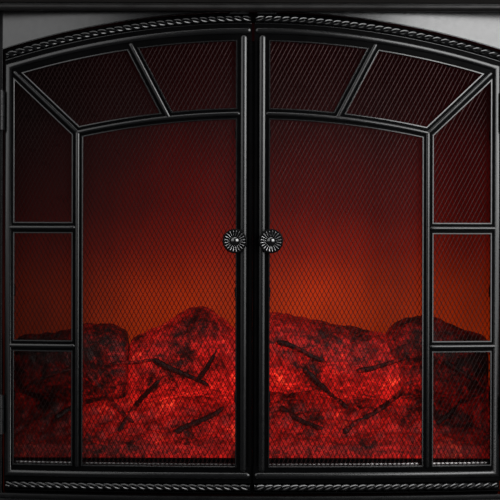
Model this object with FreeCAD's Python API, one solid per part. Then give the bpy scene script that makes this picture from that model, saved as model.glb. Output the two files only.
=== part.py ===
import FreeCAD, Part
import math
import os

# A bow-fronted fireplace screen: a black iron case with a pair of arched mesh doors,
# and a lit ember bed that stands in the case behind them.
# Millimetres. X runs across the width, Z up, and the front faces -Y.
# The outer front corners of the doors lie in the plane Y = 0.

os.makedirs("parts", exist_ok=True)

V = FreeCAD.Vector

# ---- Doors ----
DOOR_HALF = 310.0        # middle of the object to the outer edge of a door
BOW = 30.0               # how far the front swells out at the middle
SEAM_HALF = 1.5          # half of the gap between the two doors
DOOR_THICK = 6.0
PLINTH_HEIGHT = 40.0
DOOR_LIFT = 2.4          # door bottom above the plinth
CROWN_Z = 615.4          # middle of the arch rib, at the middle of the object
ARCH_R = 1090.0          # radius of the arch rib
INNER_DROP = 102.8       # arch rib down to the inner arch rib, at the middle
INNER_R = 1048.4

RIB_WIDTH = 7.5
RIB_PROUD = 3.0
BAR_WIDTH = 14.2
ROPE_WIDTH = 10.0
ROPE_PROUD = 4.0
ROPE_OUT = 15.0          # arch rib to the middle of the arch rope
ARCH_EDGE_OUT = 20.5     # arch rib to the top edge of the door
ARCH_LIP_IN = 13.0       # arch rib to the windows
BOTTOM_RAIL_HEIGHT = 34.2
BOTTOM_RIB_UP = 22.6     # door bottom to the middle of the bottom rib
BOTTOM_ROPE_UP = 7.8     # door bottom to the middle of the bottom rope
HINGE_STILE_WIDTH = 12.5
HINGE_RIB_IN = 5.0       # outer door edge to the middle of the rib
MEETING_EDGE = 21.2      # window edge of the meeting stile
MEETING_RIB = 11.5
SIDE_BAR_IN = 92.0       # outer door edge to the middle of the side bar
CROSS_BAR_FRACTIONS = (0.306, 0.554)   # heights of the cross bars, in door heights
FAN_LOW = 0.336          # foot and head of the fan bar, in door half widths
FAN_HIGH = 0.5

SEAT = 0.2               # clearance where a loose piece lies on a curved face
MESH_THICK = 1.0
MESH_TUCK = 5.0          # how far the mesh reaches behind its frame
CLIP_SIZE = 12.0
CLIP_THICK = 1.2

KNOB_X = 22.3
KNOB_FRACTION = 0.527    # knob height, in door heights
KNOB_R = 15.1
KNOB_PROUD = 14.0
KNOB_BOSS_R = 9.0
KNOB_NECK_R = 5.5
SCREW_R = 2.0
SCREW_HEAD_R = 4.0
SCREW_HEAD = 2.5
CATCH_THICK = 1.5
CATCH_REACH = 10.0       # catch plate past the meeting stile
CATCH_GAP = 0.8          # catch plate to the magnet
MAGNET_DEEP = 8.0

# ---- Hinges ----
PIVOT_OUT = 4.5          # outer door edge to the pivot
PIVOT_FRONT = 4.5        # pivot in front of the plane Y = 0
KNUCKLE_R = 4.0
PIN_R = 1.6
PIN_CAP_R = 3.0
PIN_CAP_HEIGHT = 1.5
FIT = 0.05               # running fit of pins and screws in their holes
KNUCKLE_HEIGHT = 16.0
KNUCKLE_GAP = 0.4
LEAF_THICK = 1.2
JAMB_LEAF_THICK = 1.5
LEAF_SCREW_R = 1.2
LEAF_SCREW_HEAD_R = 2.4
LEAF_SCREW_HEAD = 0.8
LEAF_SCREW_DEPTH = 8.0
HINGE_FRACTIONS = (0.16, 0.80)

# ---- Case ----
JAMB_GAP = 2.5
JAMB_WIDTH = 22.0
JAMB_FRONT = 1.0
JAMB_DEPTH = 20.0
JAMB_WALL = 2.0          # the jambs are square tubes
CASE_BACK = 150.0
HEADER_GAP = 2.5         # arch edge of the door to the header
HEADER_LEAST = 9.6       # header height left above the arch at the middle
SHEET = 1.5
FLANGE = 12.0
FOOT_HEIGHT = 6.0
FOOT_R = 12.0
FOOT_INSET = 28.0
BASE_THICK = 3.0
SILL_THICK = 6.0
SILL_PROUD = 6.0
FASCIA_PROUD = 2.0
FASCIA_THICK = 4.0
TOP_THICK = 16.0
TOP_PAST_MOULDING = 4.0  # front of the top plate past the moulding under it
TOP_SIDE = 15.5          # overhang of the top plate past the case
TOP_BACK = 2.0
TOP_CORNER_R = 12.0
MOULDING_CLEAR = 4.0     # back of the moulding to the middle of the header
MOULDING_SIDE = 9.0
MOULDING_HEIGHT = 9.5
MOULDING_DEEP = 12.0
VENT_COUNT = 7
VENT_LENGTH = 120.0
VENT_WIDTH = 5.0
VENT_PITCH = 13.0
VENT_DROP = 60.0         # top of the case down to the first vent
BACK_SCREW_R = 1.5
BACK_SCREW_HEAD_R = 3.2
BACK_SCREW_HEAD = 1.5

# ---- Ember insert ----
TRAY_FRONT = 24.0
TRAY_BACK = 132.0
TRAY_SIDE_GAP = 22.0     # case side to the tray
TRAY_HEIGHT = 71.0
BED_LIP = 17.6           # flat front band of the ember bed
BED_REAR = 120.0         # bed height at the back
BED_BEND = 34.0          # front of the bed to the bend in its slope
BED_WALL = 4.0
BED_HOLLOW = 0.45        # height of the hollow, in heights of the bed
LOG_Y = 80.0
LOG_HALF = 0.95          # how far the logs spread, in half widths of the tray
# Each end of a log: place in half widths of the tray, height above the back of the bed, radius.
LOGS = {
    "far_left_log": ((-LOG_HALF, -4, 41), (-0.49, -7, 44)),
    "left_log": ((-0.48, -10, 44), (-0.13, 13, 52)),
    "right_log": ((0.04, 13, 52), (0.59, -10, 44)),
    "far_right_log": ((0.60, -2, 42), (LOG_HALF, 2, 46)),
}
PANEL_Y = 134.0
PANEL_THICK = 3.0
PANEL_TOP_GAP = 8.0
LAMP_HEIGHT = 8.0
LAMP_DEPTH = 20.0
INLET_WIDTH = 27.0
INLET_HEIGHT = 19.0
INLET_DEEP = 10.0
INLET_RIM = 3.5
INLET_RIM_THICK = 1.5
INLET_WALL = 3.0
INLET_UP = 60.0
INLET_IN = 70.0          # case side to the middle of the inlet

# ---- Worked out from the sizes above ----
BOW_R = (DOOR_HALF ** 2 + BOW ** 2) / (2 * BOW)
DOOR_BOTTOM = PLINTH_HEIGHT + DOOR_LIFT
ARCH_Z = CROWN_Z - ARCH_R
INNER_Z = CROWN_Z - INNER_DROP - INNER_R
EDGE_R = ARCH_R + ARCH_EDGE_OUT
LIP_R = ARCH_R - ARCH_LIP_IN
DOOR_TOP = ARCH_Z + EDGE_R
DOOR_HEIGHT = DOOR_TOP - DOOR_BOTTOM
HEADER_R = EDGE_R + HEADER_GAP
HEADER_TOP = ARCH_Z + HEADER_R + HEADER_LEAST
SIDE_BAR_X = DOOR_HALF - SIDE_BAR_IN
HINGE_EDGE = DOOR_HALF - HINGE_STILE_WIDTH
RAIL_TOP = DOOR_BOTTOM + BOTTOM_RAIL_HEIGHT
KNOB_Z = DOOR_BOTTOM + KNOB_FRACTION * DOOR_HEIGHT
PIVOT_X = DOOR_HALF + PIVOT_OUT
HINGE_HEIGHTS = [DOOR_BOTTOM + share * DOOR_HEIGHT for share in HINGE_FRACTIONS]
JAMB_IN = DOOR_HALF + JAMB_GAP
CASE_HALF = JAMB_IN + JAMB_WIDTH
FLOOR_Z = FOOT_HEIGHT + BASE_THICK
MOULDING_FRONT = BOW + MOULDING_CLEAR + MOULDING_DEEP
TOP_FRONT = MOULDING_FRONT + TOP_PAST_MOULDING
TRAY_HALF = CASE_HALF - SHEET - TRAY_SIDE_GAP
BED_Z = FLOOR_Z + TRAY_HEIGHT
DEEP = 400.0
HALF_RIB = RIB_WIDTH / 2
HALF_BAR = BAR_WIDTH / 2


# ---- Shapes ----

def box(x0, x1, y0, y1, z0, z1):
    return Part.makeBox(x1 - x0, y1 - y0, z1 - z0, V(x0, y0, z0))


def upright(x0, x1, z0, z1):
    """A rectangle in the XZ plane, run through the whole depth."""
    return box(x0, x1, -DEEP, DEEP, z0, z1)


def rod(x, z, radius, y0=-DEEP, y1=DEEP):
    """A round bar along Y."""
    return Part.makeCylinder(radius, y1 - y0, V(x, y0, z), V(0, 1, 0))


def ring(centre_z, inner, outer):
    return rod(0, centre_z, outer).cut(rod(0, centre_z, inner))


def slanted(low, high, width):
    """A straight bar in the XZ plane from low to high, run through the whole depth."""
    length = math.hypot(high[0] - low[0], high[1] - low[1])
    across = (width / 2 * (high[1] - low[1]) / length, -width / 2 * (high[0] - low[0]) / length)
    loop = [V(x + side * across[0], -DEEP, z + side * across[1])
            for x, z, side in (low + (1,), high + (1,), high + (-1,), low + (-1,))]
    return Part.Face(Part.makePolygon(loop + loop[:1])).extrude(V(0, 2 * DEEP, 0))


def ribbon(points, x0, x1):
    """An outline in the YZ plane, run across from x0 to x1."""
    loop = [V(x0, y, z) for y, z in points]
    return Part.Face(Part.makePolygon(loop + loop[:1])).extrude(V(x1 - x0, 0, 0))


def bow_y(x):
    """Front surface of the doors."""
    return BOW_R - BOW - math.sqrt(BOW_R ** 2 - x ** 2)


def bow_arc(offset):
    reach = CASE_HALF + TOP_SIDE
    left, middle, right = (V(x, bow_y(x) + offset, 0) for x in (-reach, 0, reach))
    return Part.Arc(left, middle, right).toShape()


def bow_shell(front, back):
    """The space between two copies of the bowed front, moved back by front and by back."""
    near, far = bow_arc(front), bow_arc(back)
    ends = [Part.makeLine(near.Vertexes[i].Point, far.Vertexes[i].Point) for i in (0, 1)]
    face = Part.Face(Part.Wire([near, ends[1], far, ends[0]]))
    return face.extrude(V(0, 0, HEADER_TOP + TOP_THICK))


def bowed(outline, front, back):
    return outline.common(bow_shell(front, back))


def ribbed(outline, rib):
    """A flat member that follows the bow, with a raised rib on its face."""
    return bowed(outline, 0, DOOR_THICK).fuse(bowed(rib.common(outline), -RIB_PROUD, 0)).removeSplitter()


def under_arch(outline, centre_z, radius):
    return outline.common(rod(0, centre_z, radius))


def arch_height(x, centre_z, radius):
    return centre_z + math.sqrt(radius ** 2 - x ** 2)


def mirrored(shape):
    return shape.mirror(V(0, 0, 0), V(1, 0, 0))


def solids(shapes):
    return Part.makeCompound(shapes)


def write(name, shape):
    shape.exportStep("parts/" + name + ".step")


# ---- One door, drawn as the right-hand one ----

def door_members():
    """The welded lattice of the door: stiles, rails and bars."""
    rails = upright(SEAM_HALF, DOOR_HALF, RAIL_TOP, DOOR_TOP)
    arch = ring(ARCH_Z, LIP_R, EDGE_R).common(rails)
    bottom = upright(SEAM_HALF, DOOR_HALF, DOOR_BOTTOM, RAIL_TOP)
    hinge = under_arch(upright(HINGE_EDGE, DOOR_HALF, RAIL_TOP, DOOR_TOP), ARCH_Z, LIP_R)
    meeting = under_arch(upright(SEAM_HALF, MEETING_EDGE, RAIL_TOP, DOOR_TOP), ARCH_Z, LIP_R)
    boss = rod(KNOB_X, KNOB_Z, KNOB_BOSS_R).cut(meeting)
    side = under_arch(upright(SIDE_BAR_X - HALF_BAR, SIDE_BAR_X + HALF_BAR, RAIL_TOP, DOOR_TOP),
                      INNER_Z, INNER_R + HALF_BAR)
    inner = ring(INNER_Z, INNER_R - HALF_BAR, INNER_R + HALF_BAR).common(
        upright(MEETING_EDGE, SIDE_BAR_X - HALF_BAR, RAIL_TOP, DOOR_TOP))
    crossings = [DOOR_BOTTOM + share * DOOR_HEIGHT for share in CROSS_BAR_FRACTIONS]
    corner_ends = ((SIDE_BAR_X, arch_height(SIDE_BAR_X, INNER_Z, INNER_R)),
                   (DOOR_HALF - HINGE_RIB_IN, arch_height(DOOR_HALF - HINGE_RIB_IN, ARCH_Z, ARCH_R)))
    fan_ends = ((FAN_LOW * DOOR_HALF, arch_height(FAN_LOW * DOOR_HALF, INNER_Z, INNER_R)),
                (FAN_HIGH * DOOR_HALF, arch_height(FAN_HIGH * DOOR_HALF, ARCH_Z, ARCH_R)))
    corner = slanted(*corner_ends, BAR_WIDTH).cut(side).cut(hinge).cut(arch)
    fan = slanted(*fan_ends, BAR_WIDTH).cut(inner).cut(arch)
    rib_x = DOOR_HALF - HINGE_RIB_IN
    rib_z = DOOR_BOTTOM + BOTTOM_RIB_UP

    members = {
        "arch_rail": ribbed(arch, ring(ARCH_Z, ARCH_R - HALF_RIB, ARCH_R + HALF_RIB)),
        "bottom_rail": ribbed(bottom, upright(SEAM_HALF, DOOR_HALF, rib_z - HALF_RIB, rib_z + HALF_RIB)),
        "hinge_stile": ribbed(hinge, upright(rib_x - HALF_RIB, rib_x + HALF_RIB, 0, DOOR_TOP)),
        "meeting_stile": ribbed(meeting, upright(MEETING_RIB - HALF_RIB, MEETING_RIB + HALF_RIB, 0, DOOR_TOP)),
        "side_bar": ribbed(side, upright(SIDE_BAR_X - HALF_RIB, SIDE_BAR_X + HALF_RIB, 0, DOOR_TOP)),
        "inner_arch_bar": ribbed(inner, ring(INNER_Z, INNER_R - HALF_RIB, INNER_R + HALF_RIB)),
        "corner_bar": ribbed(corner, slanted(*corner_ends, RIB_WIDTH)),
        "fan_bar": ribbed(fan, slanted(*fan_ends, RIB_WIDTH)),
        "cross_bars": solids([
            ribbed(upright(SIDE_BAR_X + HALF_BAR, HINGE_EDGE, z - HALF_BAR, z + HALF_BAR),
                   upright(0, DOOR_HALF, z - HALF_RIB, z + HALF_RIB)) for z in crossings]),
    }
    stile = members["meeting_stile"].fuse(bowed(boss, 0, DOOR_THICK)).removeSplitter()
    members["meeting_stile"] = stile.cut(rod(KNOB_X, KNOB_Z, SCREW_R + FIT))
    return members


def door_trim():
    """Twisted rope mouldings along the arch and along the bottom of the door."""
    ends = upright(SEAM_HALF + 1, DOOR_HALF - 1, DOOR_BOTTOM, DOOR_TOP)
    rope_r = ARCH_R + ROPE_OUT
    rope_z = DOOR_BOTTOM + BOTTOM_ROPE_UP
    arch = ring(ARCH_Z, rope_r - ROPE_WIDTH / 2, rope_r + ROPE_WIDTH / 2).common(ends)
    straight = upright(SEAM_HALF + 1, DOOR_HALF - 1, rope_z - ROPE_WIDTH / 2, rope_z + ROPE_WIDTH / 2)
    return {
        "arch_rope": bowed(arch, -ROPE_PROUD, -SEAT),
        "bottom_rope": bowed(straight, -ROPE_PROUD, -SEAT),
    }


def door_mesh():
    """The mesh sheet behind the lattice and the clips that hold it."""
    sheet = under_arch(upright(MEETING_EDGE - MESH_TUCK, HINGE_EDGE + MESH_TUCK,
                               RAIL_TOP - MESH_TUCK, DOOR_TOP), ARCH_Z, LIP_R + MESH_TUCK)
    sheet = sheet.cut(rod(KNOB_X, KNOB_Z, SCREW_HEAD_R + 1))
    half = CLIP_SIZE / 2
    spots = []
    for share in (0.2, 0.42, 0.75):
        height = DOOR_BOTTOM + share * DOOR_HEIGHT
        spots += [(MEETING_EDGE - MESH_TUCK, height), (HINGE_EDGE + MESH_TUCK, height)]
    for share in (0.2, 0.5, 0.8):
        x = share * DOOR_HALF
        spots += [(x, RAIL_TOP - MESH_TUCK), (x, arch_height(x, ARCH_Z, LIP_R + MESH_TUCK))]
    front = DOOR_THICK + SEAT
    back = front + MESH_THICK
    clips = [bowed(upright(x - half, x + half, z - half, z + half), back + SEAT, back + SEAT + CLIP_THICK)
             for x, z in spots]
    return {"mesh": bowed(sheet, front, back), "mesh_clips": solids(clips)}


def door_fittings():
    """Knob with its screw, the door halves of the hinges and the steel catch plate."""
    face = bow_y(KNOB_X)
    front = face - KNOB_PROUD
    neck = rod(KNOB_X, KNOB_Z, KNOB_NECK_R, front + KNOB_PROUD / 3, face - 0.3)
    dish = Part.makeCone(KNOB_R, KNOB_R * 0.8, KNOB_PROUD / 3,
                         V(KNOB_X, front + KNOB_PROUD / 3, KNOB_Z), V(0, 1, 0))
    dome = Part.makeCone(KNOB_R * 0.55, KNOB_R, KNOB_PROUD / 3, V(KNOB_X, front, KNOB_Z), V(0, 1, 0))
    knob = neck.fuse(dish).fuse(dome).removeSplitter()
    screw_tip = face - KNOB_PROUD * 0.6
    knob = knob.cut(rod(KNOB_X, KNOB_Z, SCREW_R, screw_tip, DEEP))
    head_y = face + DOOR_THICK + FIT
    screw = rod(KNOB_X, KNOB_Z, SCREW_R, screw_tip, head_y).fuse(
        rod(KNOB_X, KNOB_Z, SCREW_HEAD_R, head_y, head_y + SCREW_HEAD)).removeSplitter()
    plate = upright(SEAM_HALF + CLIP_THICK, MEETING_EDGE + CATCH_REACH, 0, DOOR_TOP)
    plate = plate.common(ring(ARCH_Z, LIP_R + MESH_TUCK + CLIP_SIZE / 2 + 2, EDGE_R - 4))
    return {
        "knob": knob,
        "knob_screw": screw,
        "hinge_leaves": solids([door_leaf(z) for z in HINGE_HEIGHTS]),
        "catch_plate": bowed(plate, DOOR_THICK + SEAT, DOOR_THICK + SEAT + CATCH_THICK),
    }


# ---- Hinges ----

def knuckle(z0, z1):
    pivot = V(PIVOT_X, -PIVOT_FRONT, z0)
    return Part.makeCylinder(KNUCKLE_R, z1 - z0, pivot)


def pin_hole(radius, z0, z1):
    return Part.makeCylinder(radius, z1 - z0, V(PIVOT_X, -PIVOT_FRONT, z0))


def door_leaf(z):
    """Leaf on the door edge, with the middle knuckle."""
    low, high = z - KNUCKLE_HEIGHT / 2 + KNUCKLE_GAP, z + KNUCKLE_HEIGHT / 2 - KNUCKLE_GAP
    tall = KNUCKLE_HEIGHT * 1.5
    leaf = box(DOOR_HALF, DOOR_HALF + LEAF_THICK, bow_y(DOOR_HALF), DOOR_THICK, z - tall, z + tall)
    arm = box(DOOR_HALF, DOOR_HALF + LEAF_THICK, -PIVOT_FRONT - 1.5, DOOR_THICK, low, high)
    hole = pin_hole(PIN_R + FIT, low, high)
    return leaf.fuse(arm).fuse(knuckle(low, high)).removeSplitter().cut(hole)


def jamb_leaf(z):
    """Leaf on the face of the jamb, with the upper and lower knuckles."""
    tall = KNUCKLE_HEIGHT * 1.5
    edge = PIVOT_X + KNUCKLE_R + 0.5
    outer = JAMB_IN + JAMB_WIDTH - 3
    face = JAMB_FRONT - JAMB_LEAF_THICK
    leaf = box(edge, outer, face, JAMB_FRONT, z - tall, z + tall)
    for low, high in ((z - tall, z - KNUCKLE_HEIGHT / 2), (z + KNUCKLE_HEIGHT / 2, z + tall)):
        leaf = leaf.fuse(box(PIVOT_X, edge, face - JAMB_LEAF_THICK, JAMB_FRONT, low, high))
        leaf = leaf.fuse(knuckle(low, high))
    return leaf.removeSplitter().cut(pin_hole(PIN_R + FIT, z - tall, z + tall))


def hinge_pin(z):
    tall = KNUCKLE_HEIGHT * 1.5
    cap = Part.makeCylinder(PIN_CAP_R, PIN_CAP_HEIGHT, V(PIVOT_X, -PIVOT_FRONT, z + tall))
    return pin_hole(PIN_R, z - tall, z + tall).fuse(cap).removeSplitter()


def leaf_screw_spots():
    x = (PIVOT_X + KNUCKLE_R + JAMB_IN + JAMB_WIDTH) / 2 - 1
    return [(x, z + side * KNUCKLE_HEIGHT) for z in HINGE_HEIGHTS for side in (-1, 1)]


def leaf_screw(x, z, radius):
    return rod(x, z, radius, JAMB_FRONT - JAMB_LEAF_THICK, JAMB_FRONT + LEAF_SCREW_DEPTH)


# ---- Case ----

def back_screw_spots():
    x = CASE_HALF - SHEET - FLANGE / 2
    rows = [FLOOR_Z + share * (HEADER_TOP - FLOOR_Z) for share in (0.06, 0.36, 0.66, 0.94)]
    return [(side * x, z) for side in (-1, 1) for z in rows]


def case_front():
    """Jambs, the arched header and the plinth."""
    post = box(JAMB_IN, CASE_HALF, JAMB_FRONT, JAMB_FRONT + JAMB_DEPTH, FLOOR_Z, HEADER_TOP)
    posts = solids([post, mirrored(post)])
    jamb = post.cut(box(JAMB_IN + JAMB_WALL, CASE_HALF - JAMB_WALL, JAMB_FRONT + JAMB_WALL,
                        JAMB_FRONT + JAMB_DEPTH - JAMB_WALL, FLOOR_Z, HEADER_TOP))
    for x, z in leaf_screw_spots():
        jamb = jamb.cut(leaf_screw(x, z, LEAF_SCREW_R + FIT))
    spandrel = upright(-JAMB_IN, JAMB_IN, PLINTH_HEIGHT, HEADER_TOP)
    spandrel = spandrel.cut(rod(0, ARCH_Z, HEADER_R))
    header = bowed(spandrel, 0, DOOR_THICK).cut(upright(-JAMB_IN, JAMB_IN, 0, PLINTH_HEIGHT * 2))
    behind = box(-DEEP, DEEP, -DEEP, JAMB_FRONT + JAMB_DEPTH, 0, HEADER_TOP)
    sill = bowed(upright(-CASE_HALF, CASE_HALF, PLINTH_HEIGHT - SILL_THICK, PLINTH_HEIGHT),
                 -SILL_PROUD, DEEP).common(behind)
    fascia = bowed(upright(-CASE_HALF, CASE_HALF, FLOOR_Z, PLINTH_HEIGHT - SILL_THICK),
                   -FASCIA_PROUD, FASCIA_THICK - FASCIA_PROUD)
    return {
        "right_jamb": jamb,
        "left_jamb": mirrored(jamb),
        "header": header,
        "sill_plate": sill.cut(posts),
        "plinth_fascia": fascia.cut(posts),
    }


def foot_spots():
    """One foot in each corner and one under the middle of the bowed front."""
    side = CASE_HALF - FOOT_INSET
    return [(x, y) for x in (-side, side) for y in (FOOT_INSET, CASE_BACK - FOOT_INSET)] + [(0, 0)]


def case_shell():
    """Base, sides, back with its vents, moulding and top plate."""
    base = bowed(upright(-CASE_HALF, CASE_HALF, FOOT_HEIGHT, FLOOR_Z), -FASCIA_PROUD, DEEP)
    base = base.common(box(-DEEP, DEEP, -DEEP, CASE_BACK, 0, FLOOR_Z))
    inside = CASE_HALF - SHEET
    panel = box(inside, CASE_HALF, JAMB_FRONT + JAMB_DEPTH, CASE_BACK - SHEET, FLOOR_Z, HEADER_TOP)
    flange = box(inside - FLANGE, inside, CASE_BACK - 2 * SHEET, CASE_BACK - SHEET, FLOOR_Z, HEADER_TOP)
    side = panel.fuse(flange).removeSplitter()
    back = box(-CASE_HALF, CASE_HALF, CASE_BACK - SHEET, CASE_BACK, FLOOR_Z, HEADER_TOP)
    for column in (-1, 0, 1):
        middle = column * CASE_HALF / 2
        for row in range(VENT_COUNT):
            z = HEADER_TOP - VENT_DROP - row * VENT_PITCH
            back = back.cut(upright(middle - VENT_LENGTH / 2, middle + VENT_LENGTH / 2, z, z + VENT_WIDTH))
    back = back.cut(inlet_block(SEAT, 0, DEEP))
    for x, z in back_screw_spots():
        hole = rod(x, z, BACK_SCREW_R + FIT)
        back = back.cut(hole)
        side = side.cut(hole)
    top = box(-CASE_HALF - TOP_SIDE, CASE_HALF + TOP_SIDE, -TOP_FRONT, CASE_BACK + TOP_BACK,
              HEADER_TOP, HEADER_TOP + TOP_THICK)
    corners = [edge for edge in top.Edges
               if edge.Length < TOP_THICK + 1 and edge.CenterOfMass.y < 0]
    low = HEADER_TOP - MOULDING_HEIGHT
    reach = CASE_HALF + MOULDING_SIDE
    turn = MOULDING_DEEP - MOULDING_FRONT
    moulding = box(-reach, reach, -MOULDING_FRONT, turn, low, HEADER_TOP)
    end = box(CASE_HALF, reach, turn, CASE_BACK, low, HEADER_TOP)
    return {
        "base_plate": base,
        "right_side_panel": side,
        "left_side_panel": mirrored(side),
        "back_panel": back,
        "top_plate": top.makeFillet(TOP_CORNER_R, corners),
        "top_moulding": solids([moulding, end, mirrored(end)]),
        "foot_pads": solids([Part.makeCylinder(FOOT_R, FOOT_HEIGHT, V(x, y, 0)) for x, y in foot_spots()]),
    }


def case_fixings():
    """Fixed halves of the hinges, their pins, the screws and the magnet catches."""
    leaves = [jamb_leaf(z) for z in HINGE_HEIGHTS]
    for x, z in leaf_screw_spots():
        leaves = [leaf.cut(leaf_screw(x, z, LEAF_SCREW_R + FIT)) for leaf in leaves]
    pins = [hinge_pin(z) for z in HINGE_HEIGHTS]
    face = JAMB_FRONT - JAMB_LEAF_THICK
    screws = [leaf_screw(x, z, LEAF_SCREW_R).fuse(
        rod(x, z, LEAF_SCREW_HEAD_R, face - LEAF_SCREW_HEAD, face)).removeSplitter()
        for x, z in leaf_screw_spots()]
    back_screws = [rod(x, z, BACK_SCREW_R, CASE_BACK - 3 * SHEET, CASE_BACK).fuse(
        rod(x, z, BACK_SCREW_HEAD_R, CASE_BACK, CASE_BACK + BACK_SCREW_HEAD)).removeSplitter()
        for x, z in back_screw_spots()]
    front = DOOR_THICK + SEAT + CATCH_THICK + CATCH_GAP
    inner, outer = SEAM_HALF + SCREW_HEAD_R, MEETING_EDGE + CATCH_REACH - SCREW_R
    low = ARCH_Z + LIP_R + MESH_TUCK + CLIP_SIZE / 2 + SCREW_R
    arm = bowed(upright(inner, outer, low, HEADER_TOP - SHEET), front, front + MAGNET_DEEP)
    lug = bowed(upright(inner, outer, ARCH_Z + HEADER_R + SCREW_R, HEADER_TOP - SHEET),
                DOOR_THICK + SEAT, front + MAGNET_DEEP)
    catch = arm.fuse(lug).removeSplitter()
    return {
        "jamb_hinge_leaves": solids(leaves + [mirrored(leaf) for leaf in leaves]),
        "hinge_pins": solids(pins + [mirrored(pin) for pin in pins]),
        "case_screws": solids(screws + [mirrored(screw) for screw in screws] + back_screws),
        "magnet_catches": solids([catch, mirrored(catch)]),
    }


# ---- Ember insert ----

def inlet_block(grow, y0, y1):
    """The body of the mains inlet, larger by grow on each side, from y0 to y1."""
    x = CASE_HALF - INLET_IN
    z = FLOOR_Z + INLET_UP
    half_width, half_height = INLET_WIDTH / 2 + grow, INLET_HEIGHT / 2 + grow
    return box(x - half_width, x + half_width, y0, y1, z - half_height, z + half_height)


def power_inlet():
    body = inlet_block(0, CASE_BACK - INLET_DEEP, CASE_BACK)
    rim = inlet_block(INLET_RIM, CASE_BACK, CASE_BACK + INLET_RIM_THICK)
    socket = inlet_block(-INLET_WALL, CASE_BACK - INLET_DEEP + SHEET, DEEP)
    return body.fuse(rim).removeSplitter().cut(socket)


def lying_log(left, right, grow):
    """A tapered log across the bed, fatter by grow, with its ends sawn upright."""
    (x0, z0, r0), (x1, z1, r1) = [(share * TRAY_HALF, BED_Z + BED_REAR + rise, radius + grow)
                                  for share, rise, radius in (left, right)]
    direction = V(x1 - x0, 0, z1 - z0)
    start = V(x0, LOG_Y, z0) - direction
    log = Part.makeCone(2 * r0 - r1, 2 * r1 - r0, direction.Length * 3, start, direction)
    return log.common(box(x0 - grow, x1 + grow, 0, TRAY_BACK, 0, HEADER_TOP))


def ember_bed():
    """The moulded bed: a flat front band, a slope up to the back, and a seat for each log."""
    front, rear = TRAY_FRONT + SHEET, TRAY_BACK - SHEET
    bend = front + BED_BEND
    half = TRAY_HALF - SHEET
    bed = ribbon([(front, BED_Z), (front, BED_Z + BED_LIP), (bend, BED_Z + BED_REAR / 3),
                  (rear, BED_Z + BED_REAR), (rear, BED_Z)], -half, half)
    roof = BED_Z + BED_REAR * BED_HOLLOW - BED_WALL
    hollow = ribbon([(front + BED_WALL, BED_Z), (front + BED_WALL, BED_Z + BED_LIP - BED_WALL),
                     (bend, BED_Z + BED_REAR / 3 - BED_WALL), (bend + BED_BEND / 2, roof),
                     (rear - BED_WALL, roof), (rear - BED_WALL, BED_Z)],
                    BED_WALL - half, half - BED_WALL)
    bed = bed.cut(hollow)
    for ends in LOGS.values():
        bed = bed.cut(lying_log(*ends, SEAT))
    return bed


def ember_parts():
    """Tray, moulded bed, logs, glowing back panel, lamp bar and mains inlet."""
    tray = box(-TRAY_HALF, TRAY_HALF, TRAY_FRONT, TRAY_BACK, FLOOR_Z, BED_Z)
    inside = TRAY_HALF - SHEET
    tray = tray.cut(box(-inside, inside, TRAY_FRONT + SHEET, TRAY_BACK - SHEET, FLOOR_Z + SHEET, BED_Z))
    panel_half = CASE_HALF - SHEET
    lamp_front = (TRAY_FRONT + TRAY_BACK - LAMP_DEPTH) / 2
    lamp_half = LOG_HALF * TRAY_HALF
    parts = {
        "ember_tray": tray,
        "ember_bed": ember_bed(),
        "glow_panel": box(-panel_half, panel_half, PANEL_Y, PANEL_Y + PANEL_THICK,
                          FLOOR_Z, HEADER_TOP - PANEL_TOP_GAP),
        "lamp_bar": box(-lamp_half, lamp_half, lamp_front, lamp_front + LAMP_DEPTH,
                        FLOOR_Z + SHEET, FLOOR_Z + SHEET + LAMP_HEIGHT),
        "power_inlet": power_inlet(),
    }
    parts.update({name: lying_log(*ends, 0) for name, ends in LOGS.items()})
    return parts


# ---- Write every piece ----

for group in (case_front, case_shell, case_fixings, ember_parts):
    for name, shape in group().items():
        write(name, shape)
for group in (door_members, door_trim, door_mesh, door_fittings):
    for name, shape in group().items():
        write("right_" + name, shape)
        write("left_" + name, mirrored(shape))
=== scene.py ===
"""The looks of an arched fireplace screen with a glowing ember insert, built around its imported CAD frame.

Sizes are in millimetres, as in the CAD source, and become metres when a mesh is made. A door is drawn flat,
as the right-hand one, in (x, z, depth): x from the seam to the hinges, z up, depth out of the door's face.
placed() then bends it to the bow of the front, and mirrors it for the left-hand door.
"""

import math

import bmesh
import bpy
import numpy as np
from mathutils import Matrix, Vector, noise


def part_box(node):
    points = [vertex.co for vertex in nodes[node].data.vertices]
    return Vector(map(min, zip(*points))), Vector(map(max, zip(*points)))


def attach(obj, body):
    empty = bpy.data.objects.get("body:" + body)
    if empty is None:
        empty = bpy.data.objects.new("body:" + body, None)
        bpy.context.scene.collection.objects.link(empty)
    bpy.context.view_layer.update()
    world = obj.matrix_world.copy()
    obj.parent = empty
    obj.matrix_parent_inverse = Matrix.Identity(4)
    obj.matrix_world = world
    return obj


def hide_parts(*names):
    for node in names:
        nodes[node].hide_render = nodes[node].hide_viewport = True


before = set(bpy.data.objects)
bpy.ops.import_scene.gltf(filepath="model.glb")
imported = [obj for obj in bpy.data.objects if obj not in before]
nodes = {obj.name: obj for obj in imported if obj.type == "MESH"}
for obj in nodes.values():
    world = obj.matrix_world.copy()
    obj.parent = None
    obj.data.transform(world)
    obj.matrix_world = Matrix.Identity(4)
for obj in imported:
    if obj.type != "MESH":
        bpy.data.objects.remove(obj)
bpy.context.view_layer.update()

MM = 0.001


def box_mm(node):
    """Lowest and highest corner of a CAD node, in millimetres."""
    low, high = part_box(node)
    return low / MM, high / MM


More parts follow.
